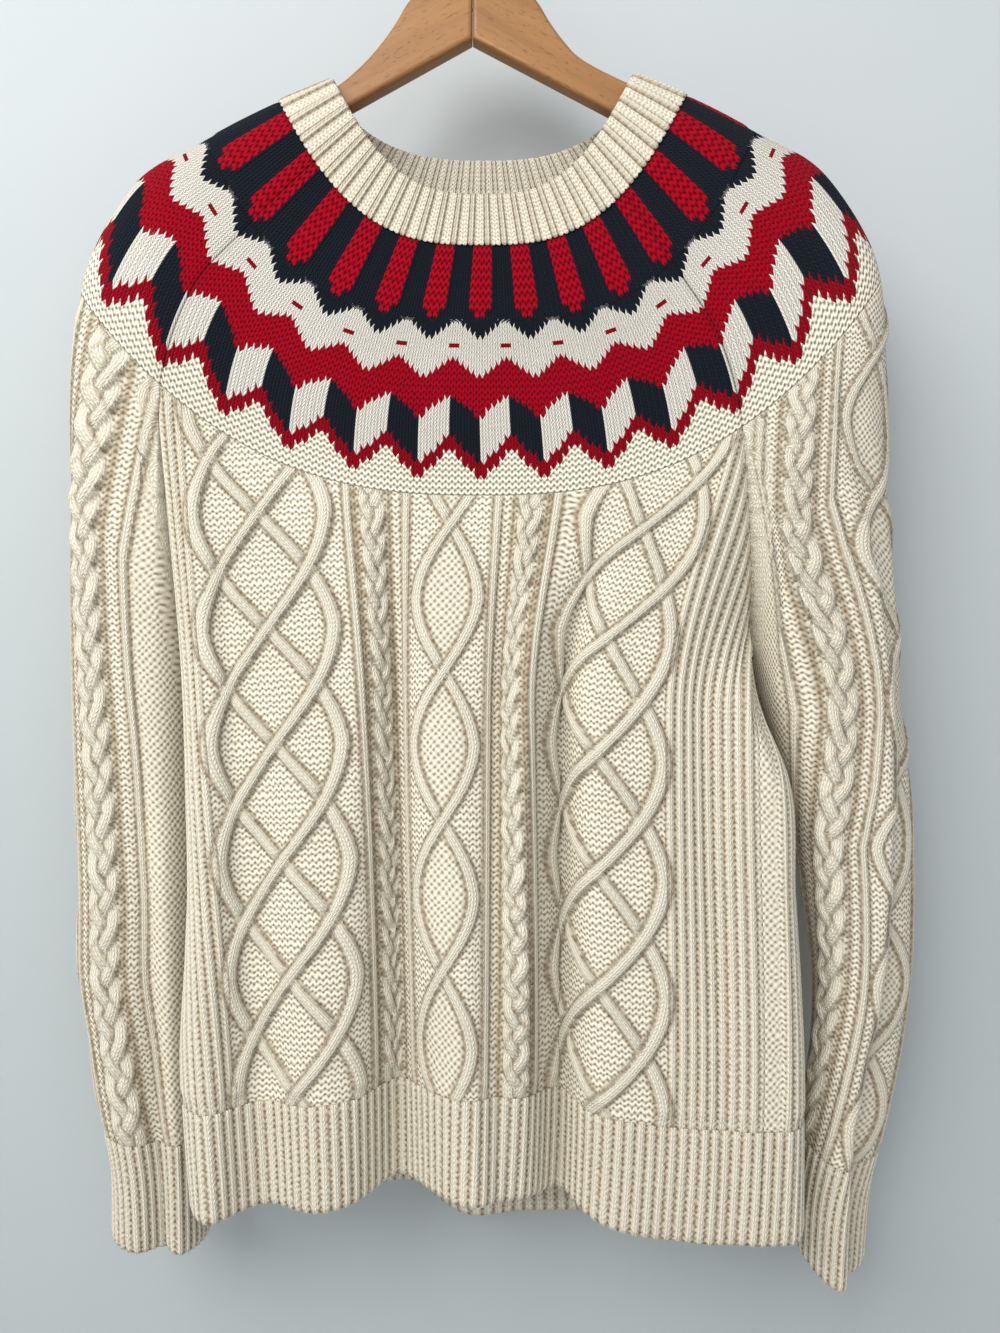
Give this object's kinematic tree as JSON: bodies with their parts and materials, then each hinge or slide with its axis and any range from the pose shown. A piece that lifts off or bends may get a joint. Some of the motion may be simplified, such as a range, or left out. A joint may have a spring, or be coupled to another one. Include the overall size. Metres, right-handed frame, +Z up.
{
  "type": "fair isle sweater on a wooden hanger",
  "caption": "Round-yoke cabled sweater with patterned yoke and ribbed edges, hanging open on a contoured wooden hanger.",
  "frame": {"origin": "the inside top of the hanger's hook, where it bears on a peg or rail", "axes": "+Z up, the sweater's front faces -Y, +X to the viewer's right as seen from the front"},
  "size_m": [0.5245, 0.1106, 0.8555],
  "materials": {
    "neckband_knit": "ribbed cotton knit, doubled",
    "yoke_front_knit": "stranded colourwork knit, matte",
    "yoke_back_knit": "stranded colourwork knit, matte",
    "yoke_left_knit": "stranded colourwork knit, matte",
    "yoke_right_knit": "stranded colourwork knit, matte",
    "front_knit": "cabled cotton knit, matte",
    "back_knit": "cabled cotton knit, matte",
    "hem_front_rib": "ribbed cotton knit, matte",
    "hem_back_rib": "ribbed cotton knit, matte",
    "sleeve_left_knit": "cabled cotton knit, matte",
    "sleeve_right_knit": "cabled cotton knit, matte",
    "cuff_left_rib": "ribbed cotton knit, matte",
    "cuff_right_rib": "ribbed cotton knit, matte",
    "arm_left_beech": "varnished beech",
    "arm_right_beech": "varnished beech",
    "hook_steel": "bare steel wire"
  },
  "bodies": {
    "root": {"neckband": "neckband_knit", "yoke_front": "yoke_front_knit", "yoke_back": "yoke_back_knit", "yoke_left": "yoke_left_knit", "yoke_right": "yoke_right_knit", "front": "front_knit", "back": "back_knit", "hem_front": "hem_front_rib", "hem_back": "hem_back_rib", "sleeve_left": "sleeve_left_knit", "sleeve_right": "sleeve_right_knit", "cuff_left": "cuff_left_rib", "cuff_right": "cuff_right_rib", "hanger_arm_left": "arm_left_beech", "hanger_arm_right": "arm_right_beech", "hanger_hook": "hook_steel"}
  },
  "joints": []
}
